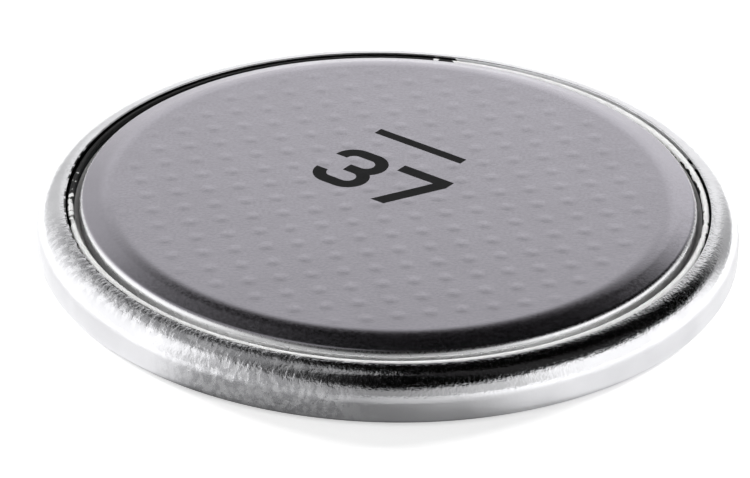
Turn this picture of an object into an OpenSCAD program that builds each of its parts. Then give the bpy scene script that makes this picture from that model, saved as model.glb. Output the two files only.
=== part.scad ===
// Lithium coin cell, 23 mm across and 2 mm thick, lying on its positive face with the negative
// cap up. A crimped steel can and a flanged steel cap are sealed by a plastic gasket, and hold a
// stack of four discs between them. All sizes are in millimetres.
// Origin: the centre of the can's flat face. +Z points out of the cap. Every piece of the case is
// turned about Z, so it is drawn as a half section, with the radius along X and the height along Y.

/* [Cell] */
// Outside diameter of the can
cell_d = 23; // [18:0.1:32]
// Overall thickness, from the can's flat face to the cap's flat face
cell_h = 2; // [1.8:0.05:3.5]
// How far the cap's face stands above the top of the crimped can
cap_proud = 0.3; // [0.2:0.01:0.36]

/* [Positive can] */
// Thickness of the can's sheet steel
can_t = 0.25; // [0.2:0.01:0.28]
// Outside radius of the corner round the can's floor
can_corner_r = 0.3; // [0.29:0.01:0.4]
// Outside radius of the crimped shoulder, a quarter circle from the wall to the lip
crimp_r = 0.92; // [0.86:0.01:1]
// Width of the flat between the top of that quarter circle and the lip's edge
lip_flat = 0.03; // [0.02:0.01:0.1]

/* [Sealing gasket] */
// Thickness of the squeezed plastic between the can and the cap
seal_t = 0.22; // [0.19:0.01:0.24]
// Width of the groove between the lip and the ring that shows
outer_groove_w = 0.07; // [0.03:0.01:0.1]
// Width of the ring that shows
ring_w = 0.2; // [0.18:0.01:0.26]
// Width of the groove between that ring and the cap
inner_groove_w = 0.18; // [0.08:0.01:0.22]
// How far the ring's top lies below the top of the lip
ring_sunk = 0.05; // [0.02:0.01:0.08]
// Radius along both edges of the ring's top
ring_edge_r = 0.08; // [0.05:0.01:0.09]
// Depth of the two grooves below the ring's top
groove_depth = 0.15; // [0.1:0.01:0.18]
// How far the gasket's foot reaches in past the outside of the cap's wall
foot_reach = 0.1; // [0.05:0.01:0.2]

/* [Negative cap] */
// Thickness of the cap's sheet steel
cap_t = 0.2; // [0.15:0.01:0.22]
// Width of the rounded shoulder, from the flat face to the upright wall
shoulder_w = 1.05; // [0.8:0.05:1.3]
// Slope at which the shoulder meets the bend into the wall, in degrees
shoulder_slope = 15; // [10:1:20]
// Outside radius of the bend where the face turns into the shoulder
face_bend_r = 1.7; // [1.2:0.05:2.2]
// Outside radius of the bend where the shoulder turns into the wall
wall_bend_r = 0.23; // [0.21:0.01:0.3]
// Radius of the corner between the wall and the top of the flange
flange_fillet_r = 0.1; // [0.05:0.01:0.12]

/* [Inner stack] */
// Thickness of the steel grid under the cathode
grid_t = 0.07; // [0.05:0.01:0.15]
// How far the grid's edge lies inside the pellet's
grid_inset = 0.2; // [0:0.05:1]
// Side of the grid's square windows
window_w = 1.2; // [0.9:0.05:1.4]
// Width of the bars between the windows
bar_w = 0.45; // [0.3:0.05:0.6]
// Width of the plain band round the grid
band_w = 0.55; // [0.4:0.05:1]
// Gap between the cathode pellet and the gasket's foot
pellet_gap = 0.6; // [0.2:0.05:1.5]
// Thickness of the separator
separator_t = 0.15; // [0.08:0.01:0.25]
// Gap between the separator and the inside of the cap's wall
separator_gap = 0.13; // [0.05:0.01:0.3]
// Thickness of the lithium disc
anode_t = 0.38; // [0.25:0.01:0.5]
// Distance from the lithium disc's edge out to where the cap's face turns down
anode_margin = 0.25; // [0.05:0.05:1]

/* [Print] */
// Thickness of the ink, which lies flush with the cap's face
ink_t = 0.01; // [0.005:0.005:0.02]
// Turn of the print round the cell, in degrees
print_turn = -35.7; // [-180:0.1:180]
// Distance of the number's centre from the middle of the cap
print_offset = 0.93; // [0:0.01:3.4]
// Direction of the number's centre from the middle of the cap, in degrees
print_bearing = 111.5; // [0:0.1:360]
// Height of the digits
digit_h = 2.55; // [2:0.05:2.9]
// Width of one digit
digit_w = 1.98; // [1.7:0.02:2.16]
// Distance between the middles of the two digits
digit_pitch = 2.28; // [2.2:0.02:2.8]
// Stroke width of the digits
stroke_w = 0.45; // [0.3:0.01:0.5]
// Length of the minus bar
minus_l = 3.5; // [2.3:0.05:4.6]
// Width of the minus bar
minus_w = 0.36; // [0.2:0.01:0.5]
// Distance from the digits' tops to the middle of the minus bar
minus_gap = 1.41; // [0.6:0.01:2.3]
// How far the minus bar's middle lies to the left of the number's
minus_shift = 0.25; // [0:0.01:1]

/* [Hidden] */
$fn = 128;
eps = 0.01; // how far a cut runs past the surface that it opens
bend_steps = 12; // flats along each bend of the cap's sheet

// Can: the crimp's arcs turn about one centre, which the gasket and the cap's rolled edge share.
can_r = cell_d / 2;
can_top_z = cell_h - cap_proud;
crimp_x = can_r - crimp_r;
crimp_z = can_top_z - crimp_r;
lip_r = crimp_x - lip_flat;

// Gasket: the ring that shows stands in the can's mouth, with a groove on each side.
ring_top_z = can_top_z - ring_sunk;
ring_outer_r = lip_r - outer_groove_w;
ring_inner_r = ring_outer_r - ring_w;
groove_z = ring_top_z - groove_depth;

// Cap: its flange lies one seal thickness under the lip, and its edge rolls down round the crimp's centre.
cap_wall_r = ring_inner_r - inner_groove_w;
foot_inner_r = cap_wall_r - foot_reach;
flange_edge_r = crimp_r - can_t - seal_t;
flange_top_z = crimp_z + flange_edge_r;
flange_foot_z = can_t + seal_t;
flange_outer_r = crimp_x + flange_edge_r;
flange_fillet = [cap_wall_r + flange_fillet_r, flange_top_z + flange_fillet_r];
face_r = cap_wall_r - shoulder_w;
face_bend = [face_r, cell_h - face_bend_r];
bends_apart_x = cap_wall_r - wall_bend_r - face_r;
bends_apart_z = -bends_apart_x * tan(shoulder_slope) + (face_bend_r - wall_bend_r) / cos(shoulder_slope);
wall_bend = face_bend + [bends_apart_x, bends_apart_z];

// Stack, from the can's floor up to the underside of the cap
pellet_r = foot_inner_r - pellet_gap;
grid_r = pellet_r - grid_inset;
separator_r = cap_wall_r - cap_t - separator_gap;
anode_r = face_r - anode_margin;
grid_z = can_t;
pellet_z = grid_z + grid_t;
anode_z = cell_h - cap_t - anode_t;
separator_z = anode_z - separator_t;
window_pitch = window_w + bar_w;
window_reach = grid_r - band_w - window_w / sqrt(2);
window_rows = floor(window_reach / window_pitch);

// Print
bowl_r = (digit_h + stroke_w) / 4;
bowl_x = digit_w / 2 - bowl_r;
bowl_y = (digit_h - stroke_w) / 4;
bowl_open_w = digit_w * 0.42;
seven_leg_w = stroke_w * 1.15;
seven_foot_x = -digit_w * 0.27;

// A disc about the Z axis between heights z0 and z1
module disc(r, z0, z1) {
    translate([0, 0, z0]) cylinder(r = r, h = z1 - z0);
}

// Half section of a ring between radii r0 and r1 and heights z0 and z1
module band(r0, r1, z0, z1) {
    translate([r0, z0]) square([r1 - r0, z1 - z0]);
}

// The upper right quarter of a circle about centre, run on a little below and to the left
module quarter(centre, r) {
    intersection() {
        translate(centre) circle(r = r);
        translate(centre - [eps, eps]) square(r + 2 * eps);
    }
}

// Outline of the can, filled and shrunk by inset: floor corner, wall and crimped shoulder
module can_outline(inset) {
    corner_x = can_r - can_corner_r;
    band(0, corner_x, inset, crimp_z);
    band(0, can_r - inset, can_corner_r, crimp_z);
    intersection() {
        translate([corner_x, can_corner_r]) circle(r = can_corner_r - inset);
        band(corner_x - eps, can_r, 0, crimp_z);
    }
    band(0, crimp_x, inset, can_top_z - inset);
    quarter([crimp_x, crimp_z], crimp_r - inset);
}

// Points along a bend about centre, from tilt t0 to tilt t1, where tilt 0 faces up and 90 faces out
function bend(centre, r, t0, t1) =
    [for (i = [0:bend_steps]) let (t = t0 + (t1 - t0) * i / bend_steps) centre + r * [sin(t), cos(t)]];

// One side of the cap's sheet, inset below its outer side: face, sloping shoulder, wall and flange,
// whose edge is rolled down
function cap_side(inset) = concat(
    [[0, cell_h - inset]],
    bend(face_bend, face_bend_r - inset, 0, shoulder_slope),
    bend(wall_bend, wall_bend_r - inset, shoulder_slope, 90),
    bend(flange_fillet, flange_fillet_r + inset, -90, -180),
    bend([crimp_x, crimp_z], flange_edge_r - inset, 0, 90),
    [[flange_outer_r - inset, flange_foot_z]]);

function reversed(points) = [for (i = [len(points) - 1:-1:0]) points[i]];

module cap_section() {
    polygon(concat(cap_side(0), reversed(cap_side(cap_t))));
}

// The ring that shows, with both edges of its top rounded
module ring_section() {
    edge_z = ring_top_z - ring_edge_r;
    edge_x = [ring_inner_r + ring_edge_r, ring_outer_r - ring_edge_r];
    band(ring_inner_r, ring_outer_r, groove_z - eps, edge_z);
    band(edge_x[0], edge_x[1], groove_z - eps, ring_top_z);
    for (x = edge_x) translate([x, edge_z]) circle(r = ring_edge_r);
}

// All that the can leaves free from the gasket's foot outwards, up to the grooves, less the cap
module gasket_section() {
    difference() {
        union() {
            intersection() {
                union() {
                    can_outline(can_t);
                    band(0, lip_r, can_t, groove_z);
                }
                band(foot_inner_r, can_r, can_t, groove_z);
            }
            ring_section();
        }
        cap_section();
    }
}

module positive_can() {
    color("silver") rotate_extrude() difference() {
        can_outline(0);
        can_outline(can_t);
        band(0, lip_r, can_corner_r, can_top_z + eps);
    }
}

module sealing_gasket() {
    color("whitesmoke") rotate_extrude() gasket_section();
}

module negative_cap() {
    color("darkgray") difference() {
        rotate_extrude() cap_section();
        let_in(ink_t + eps) minus_bar();
        let_in(ink_t + eps) digits();
    }
}

// Steel grid that collects the cathode's current, with windows set cornerwise
module cathode_grid() {
    color("slategray") difference() {
        disc(grid_r, grid_z, pellet_z);
        rotate(45) for (ix = [-window_rows:window_rows], iy = [-window_rows:window_rows])
            if (norm([ix, iy]) * window_pitch <= window_reach)
                translate([ix * window_pitch - window_w / 2, iy * window_pitch - window_w / 2, grid_z - eps])
                    cube([window_w, window_w, grid_t + 2 * eps]);
    }
}

module cathode_pellet() {
    color("dimgray") disc(pellet_r, pellet_z, separator_z);
}

module separator() {
    color("ivory") disc(separator_r, separator_z, anode_z);
}

module lithium_anode() {
    color("lightsteelblue") disc(anode_r, anode_z, cell_h - cap_t);
}

// Raises a flat shape, drawn about the number's centre, by h from the underside of the ink
module let_in(h) {
    centre = print_offset * [cos(print_bearing), sin(print_bearing)];
    translate([centre[0], centre[1], cell_h - ink_t]) rotate(print_turn) linear_extrude(h) children();
}

// A bar with round ends of radius r, as long as the digit's bowl less what r falls short of the bowl's
module bowl_outline(r) {
    for (x = [-bowl_x, bowl_x]) translate([x, 0]) circle(r = r);
    translate([-bowl_x, -r]) square([2 * bowl_x, 2 * r]);
}

// Upper bowl of the digit 3, open at the lower left
module three_bowl() {
    translate([0, bowl_y]) difference() {
        bowl_outline(bowl_r);
        bowl_outline(bowl_r - stroke_w);
        translate([-digit_w / 2 - eps, -bowl_r - eps]) square([bowl_open_w + eps, bowl_r + eps]);
    }
}

module digit_three() {
    three_bowl();
    mirror([0, 1]) three_bowl();
}

module digit_seven() {
    top = digit_h / 2;
    right = digit_w / 2;
    polygon([[-right, top], [right, top], [right, top - stroke_w], [seven_foot_x + seven_leg_w, -top],
             [seven_foot_x, -top], [right - seven_leg_w, top - stroke_w], [-right, top - stroke_w]]);
}

module digits() {
    translate([-digit_pitch / 2, 0]) digit_three();
    translate([digit_pitch / 2, 0]) digit_seven();
}

module minus_bar() {
    translate([-minus_shift - minus_l / 2, digit_h / 2 + minus_gap - minus_w / 2]) square([minus_l, minus_w]);
}

module minus_print() {
    color("black") let_in(ink_t) minus_bar();
}

module number_print() {
    color("black") let_in(ink_t) digits();
}

positive_can();
sealing_gasket();
negative_cap();
cathode_grid();
cathode_pellet();
separator();
lithium_anode();
minus_print();
number_print();
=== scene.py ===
import math

import bmesh
import bpy
from mathutils import Matrix, Vector


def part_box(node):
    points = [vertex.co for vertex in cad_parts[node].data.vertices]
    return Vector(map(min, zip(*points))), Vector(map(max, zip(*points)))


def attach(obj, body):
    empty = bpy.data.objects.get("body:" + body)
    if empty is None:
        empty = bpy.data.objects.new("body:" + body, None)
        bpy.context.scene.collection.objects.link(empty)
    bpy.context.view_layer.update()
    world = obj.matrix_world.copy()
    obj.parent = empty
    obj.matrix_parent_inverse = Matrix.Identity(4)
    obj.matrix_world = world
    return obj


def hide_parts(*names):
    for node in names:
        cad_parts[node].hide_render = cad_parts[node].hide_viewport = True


# The looks of a lithium coin cell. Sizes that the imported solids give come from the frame, and the
# others repeat the part's own named sizes. Everything is in metres, and angles are in degrees.
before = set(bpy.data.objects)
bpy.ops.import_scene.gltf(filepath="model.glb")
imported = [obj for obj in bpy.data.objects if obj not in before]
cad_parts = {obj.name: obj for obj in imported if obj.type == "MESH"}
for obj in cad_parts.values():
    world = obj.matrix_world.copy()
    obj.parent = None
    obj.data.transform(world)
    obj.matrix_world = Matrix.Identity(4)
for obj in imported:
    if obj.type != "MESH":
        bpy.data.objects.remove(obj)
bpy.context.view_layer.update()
MM = 0.001

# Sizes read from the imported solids
CAN_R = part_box("positive_can")[1].x
CAN_TOP_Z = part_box("positive_can")[1].z
CAN_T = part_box("sealing_gasket")[0].z
RING_TOP_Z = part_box("sealing_gasket")[1].z
FACE_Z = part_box("negative_cap")[1].z
CAP_T = FACE_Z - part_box("lithium_anode")[1].z
FLANGE_OUTER_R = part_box("negative_cap")[1].x
FLANGE_FOOT_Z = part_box("negative_cap")[0].z

# Sizes that the part names
CAN_CORNER_R = 0.3 * MM
CRIMP_R = 0.92 * MM
LIP_FLAT = 0.03 * MM
SEAL_T = 0.22 * MM
OUTER_GROOVE_W = 0.07 * MM
RING_W = 0.2 * MM
INNER_GROOVE_W = 0.18 * MM
RING_EDGE_R = 0.08 * MM
GROOVE_DEPTH = 0.15 * MM
FOOT_REACH = 0.1 * MM
SHOULDER_W = 1.05 * MM
SHOULDER_SLOPE = 15
FACE_BEND_R = 1.7 * MM
WALL_BEND_R = 0.23 * MM
FLANGE_FILLET_R = 0.1 * MM

# Detail that only the looks have
EDGE_R = 0.03 * MM           # rounding along the cut edge of the can's lip
PIP_PITCH = 1.03 * MM        # spacing of the cap's embossed pips
PIP_TURN = 14.0              # direction of their rows
PIP_START = (0.43, 0.27)     # place of one pip, in pitches along and across the rows
PIP_W = 0.64 * MM            # width of a pip
PIP_H = 0.0045 * MM          # height of a pip
PIP_EDGE_R = 9.0 * MM        # the pips fade out at this radius
PIP_FADE = 0.6 * MM          # over this width
PAINTED_SHADE_DEPTH = 0.07 * MM    # the black painted shade in the grooves ends this far below the ring's top
PAINTED_SHADE_ARCS = [             # bearing of an arc, where along it the painted shade starts and ends to rise, its rise
    (121.5, 3.05 * MM, 8.3 * MM, 0.16 * MM),
    (-88, 2.6 * MM, 5.2 * MM, -0.2 * MM),
    (50, 8.2 * MM, 9.8 * MM, -0.2 * MM),
]
SCORED_LIP = (-135, 8.3 * MM, 9.8 * MM)         # bearing of the crimp's scores, where along it they start and are full; there the metal is also painted darker, as painted shade
SCORED_SIDE = (-110, 10.75 * MM, 11.45 * MM)    # the same where they run down to the foot
PAINTED_LIP_SHADE = (-145, 4.5 * MM, 7 * MM)          # the same for the black painted shade along the lip
INK_LIFT = 0.002 * MM        # how far the printed ink shows above the embossed face
SECTORS = 576                # sides of a turned piece
ARC_STEPS = 16               # flats along a quarter of a bend
HIDDEN_ARC_STEPS = 6         # the same for the bends of the cap that nothing shows
FACE_STEP = 0.096 * MM       # distance between the rings of the embossed face
FLAT_MARGIN = 0.02 * MM      # a flat keeps its shading up to this distance from a bend
SHORTEST_FLAT = 0.16 * MM    # a shorter stretch belongs to a bend and has no such margin
SAME_PLACE = 1e-7            # points closer than this are taken as one

# Places that follow from those sizes
CRIMP_CENTRE = (CAN_R - CRIMP_R, CAN_TOP_Z - CRIMP_R)
LIP_R = CRIMP_CENTRE[0] - LIP_FLAT
RING_OUTER_R = LIP_R - OUTER_GROOVE_W
RING_INNER_R = RING_OUTER_R - RING_W
GROOVE_Z = RING_TOP_Z - GROOVE_DEPTH
CAP_WALL_R = RING_INNER_R - INNER_GROOVE_W
FOOT_INNER_R = CAP_WALL_R - FOOT_REACH
FLANGE_EDGE_R = CRIMP_R - CAN_T - SEAL_T
FLANGE_TOP_Z = CRIMP_CENTRE[1] + FLANGE_EDGE_R
FACE_R = CAP_WALL_R - SHOULDER_W
FACE_BEND = (FACE_R, FACE_Z - FACE_BEND_R)
BENDS_APART = CAP_WALL_R - WALL_BEND_R - FACE_R
WALL_BEND = (
    CAP_WALL_R - WALL_BEND_R,
    FACE_BEND[1] - BENDS_APART * math.tan(math.radians(SHOULDER_SLOPE))
    + (FACE_BEND_R - WALL_BEND_R) / math.cos(math.radians(SHOULDER_SLOPE)),
)
FLANGE_FILLET = (CAP_WALL_R + FLANGE_FILLET_R, FLANGE_TOP_Z + FLANGE_FILLET_R)


# ---------------------------------------------------------------- shapes
def add_object(name, data):
    """A new object in the scene."""
    made = bpy.data.objects.new(name, data)
    bpy.context.scene.collection.objects.link(made)
    return made


def arc(centre, radius, start, end, quarter_steps=ARC_STEPS):
    """Points of a half section's bend, from tilt start to tilt end: 0 faces up and 90 faces out."""
    steps = max(2, round(abs(end - start) / 90 * quarter_steps))
    tilts = [math.radians(start + (end - start) * i / steps) for i in range(steps + 1)]
    return [(centre[0] + radius * math.sin(t), centre[1] + radius * math.cos(t)) for t in tilts]


def with_margins(section):
    """The section with a point near both ends of each flat, so that its shading stays flat."""
    points = []
    for a, b in zip(section, section[1:]):
        points.append(a)
        length = math.dist(a, b)
        if length > SHORTEST_FLAT:
            for share in (FLAT_MARGIN / length, 1 - FLAT_MARGIN / length):
                points.append((a[0] + (b[0] - a[0]) * share, a[1] + (b[1] - a[1]) * share))
    return points + [section[-1]]


def turned(name, section, closed, raise_by=None):
    """A smooth piece turned about Z from a half section of (radius, height) points. A closed section
    is a ring, and an open one starts and ends on the axis. raise_by(x, y) lifts the points of the face."""
    rings = section if closed else section[1:-1]
    points = []
    for r, z in rings:
        for s in range(SECTORS):
            a = 2 * math.pi * s / SECTORS
            points.append((r * math.cos(a), r * math.sin(a), z))
    faces = []
    pairs = len(rings) if closed else len(rings) - 1
    for i in range(pairs):
        low, high = i * SECTORS, (i + 1) % len(rings) * SECTORS
        for s in range(SECTORS):
            after = (s + 1) % SECTORS
            faces.append((low + s, high + s, high + after, low + after))
    if not closed:
        last = (len(rings) - 1) * SECTORS
        start, end = len(points), len(points) + 1
        points += [(0, 0, section[0][1]), (0, 0, section[-1][1])]
        for s in range(SECTORS):
            after = (s + 1) % SECTORS
            faces.append((start, s, after))
            faces.append((end, last + after, last + s))
    if raise_by:
        points = [(x, y, z + raise_by(x, y) if z == FACE_Z else z) for x, y, z in points]
    mesh = bpy.data.meshes.new(name)
    mesh.from_pydata(points, [], faces)
    mesh.shade_smooth()
    shape = bmesh.new()
    shape.from_mesh(mesh)
    bmesh.ops.recalc_face_normals(shape, faces=shape.faces)
    shape.to_mesh(mesh)
    shape.free()
    return add_object(name, mesh)


def pip_height(x, y):
    """Height of the embossing above the cap's face."""
    turn = math.radians(PIP_TURN)
    along = (x * math.cos(turn) + y * math.sin(turn)) / PIP_PITCH - PIP_START[0]
    across = (y * math.cos(turn) - x * math.sin(turn)) / PIP_PITCH - PIP_START[1]
    off_centre = math.hypot(along - round(along), across - round(across)) * PIP_PITCH / (PIP_W / 2)
    inside = min(1, max(0, (PIP_EDGE_R - math.hypot(x, y)) / PIP_FADE))
    return PIP_H * inside * max(0, 1 - off_centre**2) ** 2


def can_section():
    """The can: floor, rounded corner, wall, crimped shoulder and lip, then back along the inside."""
    corner = (CAN_R - CAN_CORNER_R, CAN_CORNER_R)
    lip_edge = [(LIP_R + EDGE_R, CAN_TOP_Z - EDGE_R), (LIP_R + EDGE_R, CAN_TOP_Z - CAN_T + EDGE_R)]
    return (
        [(0, 0)]
        + arc(corner, CAN_CORNER_R, 180, 90)
        + arc(CRIMP_CENTRE, CRIMP_R, 90, 0)
        + arc(lip_edge[0], EDGE_R, 0, -90)
        + arc(lip_edge[1], EDGE_R, -90, -180)
        + arc(CRIMP_CENTRE, CRIMP_R - CAN_T, 0, 90)
        + arc(corner, CAN_CORNER_R - CAN_T, 90, 180)
        + [(0, CAN_T)]
    )


def cap_side(inset):
    """One side of the cap's sheet, from the edge of the face to the foot of the flange."""
    face_steps = HIDDEN_ARC_STEPS if inset else ARC_STEPS
    return (
        arc(FACE_BEND, FACE_BEND_R - inset, 0, SHOULDER_SLOPE, face_steps)
        + arc(WALL_BEND, WALL_BEND_R - inset, SHOULDER_SLOPE, 90, face_steps)
        + arc(FLANGE_FILLET, FLANGE_FILLET_R + inset, -90, -180, HIDDEN_ARC_STEPS)
        + arc(CRIMP_CENTRE, FLANGE_EDGE_R - inset, 0, 90, HIDDEN_ARC_STEPS)
        + [(FLANGE_OUTER_R - inset, FLANGE_FOOT_Z)]
    )


def cap_section():
    """The cap, with closely spaced rings on the embossed face."""
    ring_count = round(FACE_R / FACE_STEP)
    face = [(FACE_R * i / ring_count, FACE_Z) for i in range(ring_count)]
    sides = with_margins(cap_side(0)) + with_margins(cap_side(CAP_T))[::-1]
    return face + sides + [(0, FACE_Z - CAP_T)]


def gasket_section():
    """The gasket: it lines the can from its foot outwards, wraps the cap's flange and ends in the ring."""
    corner = (CAN_R - CAN_CORNER_R, CAN_CORNER_R)
    edges = (RING_INNER_R + RING_EDGE_R, RING_OUTER_R - RING_EDGE_R)
    edge_z = RING_TOP_Z - RING_EDGE_R
    outside = (
        [(FOOT_INNER_R, CAN_T)]
        + arc(corner, CAN_CORNER_R - CAN_T, 180, 90)
        + arc(CRIMP_CENTRE, CRIMP_R - CAN_T, 90, 0)
        + [(LIP_R, CAN_TOP_Z - CAN_T), (LIP_R, GROOVE_Z), (RING_OUTER_R, GROOVE_Z)]
        + arc((edges[1], edge_z), RING_EDGE_R, 90, 0)
        + arc((edges[0], edge_z), RING_EDGE_R, 0, -90)
        + [(RING_INNER_R, GROOVE_Z)]
    )
    cap_outside = [p for p in cap_side(0) if p[1] <= GROOVE_Z + SAME_PLACE and p[0] > WALL_BEND[0]]
    cap_inside = [p for p in cap_side(CAP_T) if p[1] <= FLANGE_TOP_Z and p[0] >= FOOT_INNER_R]
    return outside + cap_outside + cap_inside[::-1] + [(FOOT_INNER_R, cap_inside[0][1])]


def printed(name, node):
    """The ink of a CAD node as a thin layer that follows the embossed face."""
    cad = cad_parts[node]
    shape = bmesh.new()
    shape.from_mesh(cad.data)
    bmesh.ops.remove_doubles(shape, verts=shape.verts, dist=SAME_PLACE)
    low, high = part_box(node)
    for axis, normal in ((0, (1, 0, 0)), (1, (0, 1, 0))):
        for i in range(1, math.ceil((high[axis] - low[axis]) / FACE_STEP)):
            place = [0, 0, 0]
            place[axis] = low[axis] + i * FACE_STEP
            everything = shape.verts[:] + shape.edges[:] + shape.faces[:]
            bmesh.ops.bisect_plane(shape, geom=everything, dist=1e-9, plane_co=place, plane_no=normal)
    for v in shape.verts:
        v.co.z += pip_height(v.co.x, v.co.y) + (INK_LIFT if v.co.z > FACE_Z - SAME_PLACE else 0)
    mesh = bpy.data.meshes.new(name)
    shape.to_mesh(mesh)
    shape.free()
    mesh.shade_flat()
    return add_object(name, mesh)


# ---------------------------------------------------------------- node trees
class Nodes:
    """A node tree, with short calls for the nodes that this scene uses."""

    def __init__(self, tree, coordinates="Object"):
        self.tree = tree
        self.place = self.node("TexCoord").outputs[coordinates]

    def node(self, kind, **values):
        made = self.tree.nodes.new("ShaderNode" + kind)
        for key, value in values.items():
            setattr(made, key, value)
        return made

    def put(self, value, socket):
        """Links a node's output to an input, or sets a constant in the input."""
        if isinstance(value, bpy.types.NodeSocket):
            self.tree.links.new(value, socket)
        else:
            socket.default_value = value

    def math(self, operation, a, b=0.0):
        made = self.node("Math", operation=operation)
        self.put(a, made.inputs[0])
        self.put(b, made.inputs[1])
        return made.outputs[0]

    def axes(self):
        """X, Y and Z of the place that is shaded."""
        split = self.node("SeparateXYZ")
        self.put(self.place, split.inputs[0])
        return split.outputs

    def radius(self):
        """Distance from the cell's axis."""
        x, y, _ = self.axes()
        return self.math("SQRT", self.math("ADD", self.math("POWER", x, 2), self.math("POWER", y, 2)))

    def azimuth(self):
        """Angle round the axis, in radians: 0 is behind the cell, and right is positive."""
        x, y, _ = self.axes()
        return self.math("ARCTAN2", x, y)

    def towards(self, bearing, start, full):
        """From 0 to 1 as the distance from the middle along a bearing goes from start to full."""
        made = self.node("VectorMath", operation="DOT_PRODUCT")
        turn = math.radians(bearing)
        self.put(self.place, made.inputs[0])
        self.put((math.cos(turn), math.sin(turn), 0), made.inputs[1])
        return self.spread(made.outputs["Value"], start, full)

    def round_place(self, along):
        """Coordinates (angle times along, radius, height), for marks that run round the axis."""
        x, y, z = self.axes()
        made = self.node("CombineXYZ")
        self.put(self.math("MULTIPLY", self.math("ARCTAN2", y, x), along), made.inputs[0])
        self.put(self.radius(), made.inputs[1])
        self.put(z, made.inputs[2])
        return made.outputs[0]

    def noise(self, size, detail, place=None):
        """Noise with features of that size, in metres."""
        made = self.node("TexNoise")
        self.put(place or self.place, made.inputs["Vector"])
        self.put(1 / size, made.inputs["Scale"])
        self.put(detail, made.inputs["Detail"])
        return made.outputs[0]

    def spread(self, value, low, high, into_low=0, into_high=1):
        """Maps low..high of value smoothly onto into_low..into_high, and stops at both ends."""
        made = self.node("MapRange", interpolation_type="SMOOTHSTEP")
        names = ("Value", "From Min", "From Max", "To Min", "To Max")
        for name, source in zip(names, (value, low, high, into_low, into_high)):
            self.put(source, made.inputs[name])
        return made.outputs[0]

    def vary(self, noise, into_low=0, into_high=1):
        """Maps the range in which most of a noise lies onto into_low..into_high."""
        return self.spread(noise, 0.3, 0.7, into_low, into_high)

    def tint(self, value, dark, light):
        """A colour between dark and light, by value from 0 to 1."""
        made = self.node("Mix", data_type="RGBA")
        self.put(value, made.inputs["Factor"])
        for socket, colour in zip([i for i in made.inputs if i.type == "RGBA"], (dark, light)):
            self.put((*colour, 1) if isinstance(colour, tuple) else colour, socket)
        return [o for o in made.outputs if o.type == "RGBA"][0]

    def mix(self, share, first, second):
        """A shader that goes from the first to the second as share goes from 0 to 1."""
        made = self.node("MixShader")
        for source, socket in zip((share, first, second), made.inputs):
            self.put(source, socket)
        return made.outputs[0]

    def table(self, rows, interpolation):
        """The levels at the place's azimuth, from rows of (azimuth in degrees, three levels)."""
        share = self.node("MapRange")
        self.put(self.azimuth(), share.inputs["Value"])
        self.put(-math.pi, share.inputs["From Min"])
        self.put(math.pi, share.inputs["From Max"])
        ramp = self.node("ValToRGB")
        ramp.color_ramp.interpolation = interpolation
        stops = ramp.color_ramp.elements
        while len(stops) < len(rows):
            stops.new(0.5)
        for stop, (azimuth, *levels) in zip(stops, rows):
            stop.position = (azimuth + 180) / 360
            stop.color = (*levels, 1)
        self.put(share.outputs[0], ramp.inputs[0])
        split = self.node("SeparateColor")
        self.put(ramp.outputs[0], split.inputs[0])
        return split.outputs


class Finish(Nodes):
    """A material and its node tree. Its values feed the Principled shader."""

    def __init__(self, name):
        self.material = bpy.data.materials.new(name)
        self.material.use_nodes = True
        super().__init__(self.material.node_tree)
        self.bsdf = self.tree.nodes["Principled BSDF"]

    def set(self, **values):
        for key, value in values.items():
            self.put(value, self.bsdf.inputs[key.replace("_", " ")])

    def bump(self, *layers):
        """Bump from (height, depth in metres) layers."""
        normal = None
        for height, depth in layers:
            made = self.node("Bump")
            self.put(1, made.inputs["Strength"])
            self.put(depth, made.inputs["Distance"])
            self.put(height, made.inputs["Height"])
            if normal:
                self.put(normal, made.inputs["Normal"])
            normal = made.outputs[0]
        self.put(normal, self.bsdf.inputs["Normal"])


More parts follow.
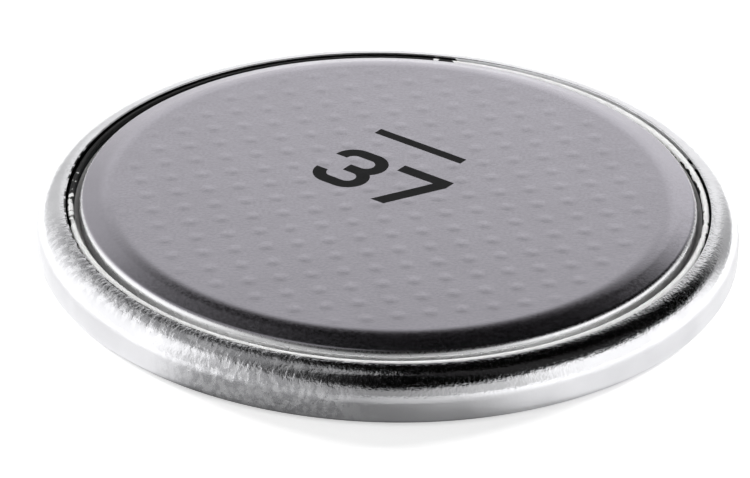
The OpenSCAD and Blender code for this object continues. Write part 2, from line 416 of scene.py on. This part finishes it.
# ---------------------------------------------------------------- materials
def can_steel():
    """Bright nickel plate: grainy from the drawing and crimping, with fine marks round the wall. On the front-left the
    rim is rougher, with fine scores across it, in one place down to the foot, and the scores are also painted darker
    as painted shade.
    Along its lip on that side, black streaks are painted shade."""
    m = Finish("can_steel")
    grain = m.noise(0.09 * MM, 2)
    dents = m.noise(0.3 * MM, 3)
    patches = m.noise(2.0 * MM, 2)
    marks = m.noise(0.06 * MM, 2, m.round_place(0.7 * MM))
    scores = m.spread(m.noise(0.34 * MM, 3, m.round_place(17 * MM)), 0.42, 0.58)
    radius, height = m.radius(), m.axes()[2]
    on_crimp = m.spread(height, CRIMP_CENTRE[1], CRIMP_CENTRE[1] + 0.1 * MM)
    near_lip = m.math("MULTIPLY", on_crimp, m.spread(radius, CAN_R - 0.45 * MM, CAN_R - 0.1 * MM, 1, 0))
    rubbed_lip = m.math("MULTIPLY", m.towards(*SCORED_LIP), near_lip)
    on_side = m.spread(height, 0.1 * MM, 0.25 * MM)
    rubbed_side = m.math("MULTIPLY", m.towards(*SCORED_SIDE), on_side)
    rubbed = m.math("MAXIMUM", rubbed_lip, rubbed_side)
    scores_and_painted_shade = m.math("MULTIPLY", scores, rubbed)
    clean = m.tint(m.vary(patches), (0.76, 0.76, 0.78), (0.84, 0.84, 0.86))
    # The scores are wear in roughness and bump, and are also painted darker: painted shade on the front-left of the
    # crimp
    metal = m.tint(m.math("MULTIPLY", scores_and_painted_shade, 0.55), clean, (0.4, 0.4, 0.42))
    # Black streaks along the lip's edge on the front-left: painted shade
    at_lip = m.math("MULTIPLY", on_crimp, m.spread(radius, LIP_R + 0.03 * MM, LIP_R + 0.07 * MM, 1, 0))
    painted_lip_streaks = m.math("MULTIPLY", at_lip, m.spread(dents, 0.42, 0.52))
    black_painted_shade = m.math("MULTIPLY", painted_lip_streaks, m.towards(*PAINTED_LIP_SHADE))
    polish = m.spread(grain, 0.3, 0.75, 0.1, 0.22)
    m.set(
        Base_Color=m.tint(black_painted_shade, metal, (0.01, 0.01, 0.01)),
        Roughness=m.math("ADD", polish, m.math("MULTIPLY", rubbed, 0.1)),
        Metallic=1.0,
    )
    m.bump((dents, 0.008 * MM), (grain, 0.007 * MM), (marks, 0.003 * MM), (scores_and_painted_shade, 0.006 * MM))
    return m.material


def cap_steel():
    """Satin steel with a fine grain. Down the wall its colour is painted much lighter, as a painted highlight."""
    m = Finish("cap_steel")
    # Lighter colour down the wall: a painted highlight on the cap's wall
    wall = m.spread(m.radius(), CAP_WALL_R - 0.14 * MM, CAP_WALL_R - 0.04 * MM)
    grain = m.noise(0.1 * MM, 3)
    patches = m.noise(1.6 * MM, 3)
    face = m.tint(m.vary(patches), (0.463, 0.446, 0.492), (0.481, 0.464, 0.512))
    satin = m.vary(grain, 0.19, 0.26)
    m.set(
        Base_Color=m.tint(wall, face, (0.85, 0.85, 0.86)),
        Roughness=m.math("ADD", satin, m.math("MULTIPLY", wall, 0.08)),
        Metallic=1.0,
    )
    m.bump((grain, 0.0012 * MM), (patches, 0.002 * MM))
    return m.material


def gasket_plastic():
    """Natural polypropylene, milky and a little waxy. The grooves beside the ring are painted black as painted shade,
    with a ragged edge.
    In one arc the painted shade rises over the ring, and in two arcs it lies lower."""
    m = Finish("gasket_plastic")
    cloud = m.noise(0.4 * MM, 3)
    fine = m.noise(0.05 * MM, 2)
    height = m.axes()[2]
    plastic = m.tint(m.vary(cloud), (0.72, 0.72, 0.71), (0.84, 0.84, 0.83))
    # Black, painted into the grooves as painted shade
    black_painted_shade = m.tint(m.vary(fine), (0.003, 0.003, 0.003), (0.01, 0.01, 0.01))
    depth = m.math("SUBTRACT", RING_TOP_Z - PAINTED_SHADE_DEPTH, height)
    for bearing, start, full, rise in PAINTED_SHADE_ARCS:
        depth = m.math("ADD", depth, m.math("MULTIPLY", m.towards(bearing, start, full), rise))
    depth = m.math("ADD", depth, m.spread(cloud, 0.35, 0.65, -0.06 * MM, 0.06 * MM))
    in_grooves = m.spread(height, GROOVE_Z - 0.03 * MM, GROOVE_Z - 0.01 * MM)
    # Where the grooves, and in one arc the ring, get the black painted shade
    under_painted_shade = m.math("MULTIPLY", m.spread(depth, -0.015 * MM, 0.015 * MM), in_grooves)
    m.set(
        Base_Color=m.tint(under_painted_shade, plastic, black_painted_shade),
        Roughness=m.vary(fine, 0.3, 0.42),
        Specular_IOR_Level=m.spread(under_painted_shade, 0, 1, 0.5, 0.1),
        Subsurface_Weight=0.9,
        Subsurface_Radius=(1, 1, 1),
        Subsurface_Scale=0.5 * MM,
    )
    m.bump((fine, 0.002 * MM))
    return m.material


def print_ink():
    """Black printing ink, a little uneven."""
    m = Finish("print_ink")
    mottle = m.noise(0.12 * MM, 3)
    m.set(
        Base_Color=m.tint(m.spread(mottle, 0.35, 0.7), (0.003, 0.003, 0.003), (0.009, 0.009, 0.01)),
        Roughness=m.vary(mottle, 0.5, 0.65),
        Specular_IOR_Level=0.1,
    )
    m.bump((mottle, 0.001 * MM))
    return m.material


def grid_steel():
    """Dull punched steel."""
    m = Finish("grid_steel")
    grain = m.noise(0.1 * MM, 3)
    m.set(
        Base_Color=m.tint(m.vary(grain), (0.42, 0.42, 0.43), (0.55, 0.55, 0.55)),
        Roughness=m.vary(grain, 0.35, 0.5),
        Metallic=1.0,
    )
    m.bump((grain, 0.002 * MM))
    return m.material


def cathode_black():
    """Pressed black powder."""
    m = Finish("cathode_black")
    powder = m.noise(0.08 * MM, 4)
    m.set(
        Base_Color=m.tint(m.vary(powder), (0.03, 0.03, 0.03), (0.08, 0.08, 0.082)),
        Roughness=m.vary(powder, 0.75, 0.95),
    )
    m.bump((powder, 0.01 * MM))
    return m.material


def separator_felt():
    """White non-woven felt."""
    m = Finish("separator_felt")
    fibres = m.noise(0.12 * MM, 5)
    m.set(
        Base_Color=m.tint(m.spread(fibres, 0.35, 0.65), (0.78, 0.77, 0.72), (0.9, 0.89, 0.85)),
        Roughness=0.9,
        Sheen_Weight=0.2,
    )
    m.bump((fibres, 0.02 * MM))
    return m.material


def lithium_metal():
    """Soft silvery metal, dulled in patches."""
    m = Finish("lithium_metal")
    patches = m.noise(0.8 * MM, 4)
    m.set(
        Base_Color=m.tint(m.vary(patches), (0.5, 0.51, 0.54), (0.68, 0.69, 0.7)),
        Roughness=m.vary(patches, 0.3, 0.55),
        Metallic=1.0,
    )
    m.bump((patches, 0.004 * MM))
    return m.material


# ---------------------------------------------------------------- pieces
def dress(piece, material, node):
    """Gives a piece its finish, and lets it stand for its CAD node."""
    piece.data.materials.clear()
    piece.data.materials.append(material)
    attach(piece, "root")
    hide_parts(node)


def make_pieces():
    dress(turned("can_shell", with_margins(can_section()), False), can_steel(), "positive_can")
    dress(turned("cap_shell", cap_section(), False, pip_height), cap_steel(), "negative_cap")
    dress(turned("gasket_ring", gasket_section(), True), gasket_plastic(), "sealing_gasket")
    ink = print_ink()
    dress(printed("minus_ink", "minus_print"), ink, "minus_print")
    dress(printed("number_ink", "number_print"), ink, "number_print")
    inner = {
        "cathode_grid": grid_steel(),
        "cathode_pellet": cathode_black(),
        "separator": separator_felt(),
        "lithium_anode": lithium_metal(),
    }
    for node, material in inner.items():
        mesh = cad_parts[node].data
        mesh.materials.clear()
        mesh.materials.append(material)


# ---------------------------------------------------------------- studio
CAMERA_ELEVATION = 29.05
CAMERA_DISTANCE = 0.1643
CAMERA_ROLL = 1.3
CAMERA_LENS = 240.0
AIM = (-0.41 * MM, 0.19 * MM)      # the point aimed at, right of and above the cell's foot in the view

FLOOR_R = 0.6
FLOOR_HOLE_R = 10.8 * MM            # hidden under the cell, so that its underside gets light
FLOOR_SIDES = 128
FLOOR_PAINT = 0.8
FLOOR_GLOW_IN_VIEW = 0.5
WALL_EDGE_SOFTNESS = 6.0            # the walls fade into the ceiling over this much to each side of their top
ROOM = [                            # azimuth (0 is behind the cell, 90 right), wall, its top's elevation, ceiling
    (-180, 0.32, 28, 0.0), (-145, 0.5, 40, 0.02), (-124, 0.7, 46, 0.15), (-106, 1.25, 50, 0.3),
    (-60, 1.3, 46, 0.4), (-42, 0.95, 42, 0.42), (-29, 0.65, 41, 0.26), (-19, 0.65, 38, 0.01), (-8, 0.95, 33, 0.0),
    (5, 1.05, 32, 0.0), (19, 1.0, 36, 0.0), (30, 0.5, 30, 0.0), (45, 0.42, 22, 0.0), (62, 1.2, 24, 0.0),
    (85, 1.25, 32, 0.02), (115, 1.25, 42, 0.02), (145, 0.6, 36, 0.0), (180, 0.32, 28, 0.0),
]
PAINTED_FLOOR_REFLECTION = [                  # azimuth, and there the floor's paint and glow in reflections: darker in front as painted shade, glowing at the sides as painted light
    (-180, 0.4, 0.03), (-148, 0.4, 0.03), (-139, 0.8, 0.2), (-130, 0.8, 0.24), (-60, 0.8, 0.24),
    (-40, 0.8, 0.05), (0, 0.8, 0.0), (40, 0.8, 0.05), (60, 0.8, 0.24), (145, 0.8, 0.24),
    (156, 0.7, 0.14), (166, 0.5, 0.05), (180, 0.4, 0.03),
]
LAMPS = [                           # name, place, diameter and power
    ("left_light", (-0.21, 0.18, 0.11), 0.1, 1.2),
    ("right_light", (0.21, 0.18, 0.11), 0.1, 1.2),
    ("top_light", (0, -0.05, 0.3), 0.15, 0.12),
]


def make_camera():
    data = bpy.data.cameras.new("camera")
    data.lens = CAMERA_LENS
    data.clip_start, data.clip_end = 0.01, 5
    camera = add_object("camera", data)
    e, roll = math.radians(CAMERA_ELEVATION), math.radians(CAMERA_ROLL)
    back = Vector((0, -math.cos(e), math.sin(e)))
    level_right = Vector((1, 0, 0))
    level_up = back.cross(level_right)
    right = level_right * math.cos(roll) + level_up * math.sin(roll)
    up = back.cross(right)
    place = back * CAMERA_DISTANCE + right * AIM[0] + up * AIM[1]
    turn = Matrix((right, up, back)).transposed()
    camera.matrix_world = Matrix.Translation(place) @ turn.to_4x4()
    bpy.context.scene.camera = camera


def floor_paint():
    """Pale paint, clear from below. Its own glow keeps it white in view, and in reflections it has the paint and glow
    that the table above lists by
    azimuth: painted shade in front of the cell and painted light to its sides."""
    m = Finish("floor")
    path = m.node("LightPath")
    # Floor colour and glow seen only in reflections: painted shade in front, painted light at the sides
    painted_reflection = m.table([(*row, 0) for row in PAINTED_FLOOR_REFLECTION], "LINEAR")
    paint = m.node("Mix")
    m.put(path.outputs["Is Glossy Ray"], paint.inputs["Factor"])
    m.put(FLOOR_PAINT, paint.inputs["A"])
    m.put(painted_reflection[0], paint.inputs["B"])
    painted_reflection_glow = m.math("MULTIPLY", path.outputs["Is Glossy Ray"], painted_reflection[1])
    seen_glow = m.math("MULTIPLY", path.outputs["Is Camera Ray"], FLOOR_GLOW_IN_VIEW)
    m.set(
        Base_Color=paint.outputs["Result"],
        Roughness=0.9,
        Specular_IOR_Level=0,
        Emission_Color=(1, 1, 1, 1),
        Emission_Strength=m.math("ADD", seen_glow, painted_reflection_glow),
    )
    from_below = m.node("NewGeometry").outputs["Backfacing"]
    clear = m.node("BsdfTransparent").outputs[0]
    m.put(m.mix(from_below, m.bsdf.outputs[0], clear), m.tree.nodes["Material Output"].inputs["Surface"])
    return m.material


def make_floor():
    """A round floor with a hole under the cell."""
    shape = bmesh.new()
    rings = []
    angles = [2 * math.pi * i / FLOOR_SIDES for i in range(FLOOR_SIDES)]
    for r in (FLOOR_HOLE_R, FLOOR_R):
        rings.append([shape.verts.new((r * math.cos(a), r * math.sin(a), 0)) for a in angles])
    for i in range(FLOOR_SIDES):
        j = (i + 1) % FLOOR_SIDES
        shape.faces.new((rings[0][i], rings[1][i], rings[1][j], rings[0][j]))
    mesh = bpy.data.meshes.new("floor")
    shape.to_mesh(mesh)
    shape.free()
    mesh.materials.append(floor_paint())
    add_object("floor", mesh)


def make_room():
    """The world is a studio: bright walls under a dark ceiling, and white where the camera sees it."""
    world = bpy.data.worlds.new("studio")
    bpy.context.scene.world = world
    world.use_nodes = True
    world.node_tree.nodes.clear()
    m = Nodes(world.node_tree, "Generated")
    rows = [(azimuth, wall, math.radians(top), ceiling) for azimuth, wall, top, ceiling in ROOM]
    wall, top, ceiling = m.table(rows, "EASE")
    above_top = m.math("SUBTRACT", m.math("ARCSINE", m.axes()[2]), top)
    soft = math.radians(WALL_EDGE_SOFTNESS)
    room, backdrop = m.node("Background"), m.node("Background")
    m.put(m.spread(above_top, -soft, soft, wall, ceiling), room.inputs[0])
    m.put((1, 1, 1, 1), backdrop.inputs[0])
    in_view = m.node("LightPath").outputs["Is Camera Ray"]
    m.put(m.mix(in_view, room.outputs[0], backdrop.outputs[0]), m.node("OutputWorld").inputs[0])


def make_lamp(name, place, diameter, watts):
    """A soft lamp aimed at the cell. It lights surfaces without showing in the polished metal."""
    data = bpy.data.lights.new(name, "AREA")
    data.shape = "DISK"
    data.size = diameter
    data.energy = watts
    lamp = add_object(name, data)
    lamp.location = place
    lamp.rotation_mode = "QUATERNION"
    lamp.rotation_quaternion = Vector(place).to_track_quat("Z", "Y")
    lamp.visible_glossy = False


make_pieces()
make_camera()
make_floor()
make_room()
for lamp in LAMPS:
    make_lamp(*lamp)
bpy.context.scene.view_settings.view_transform = "Standard"
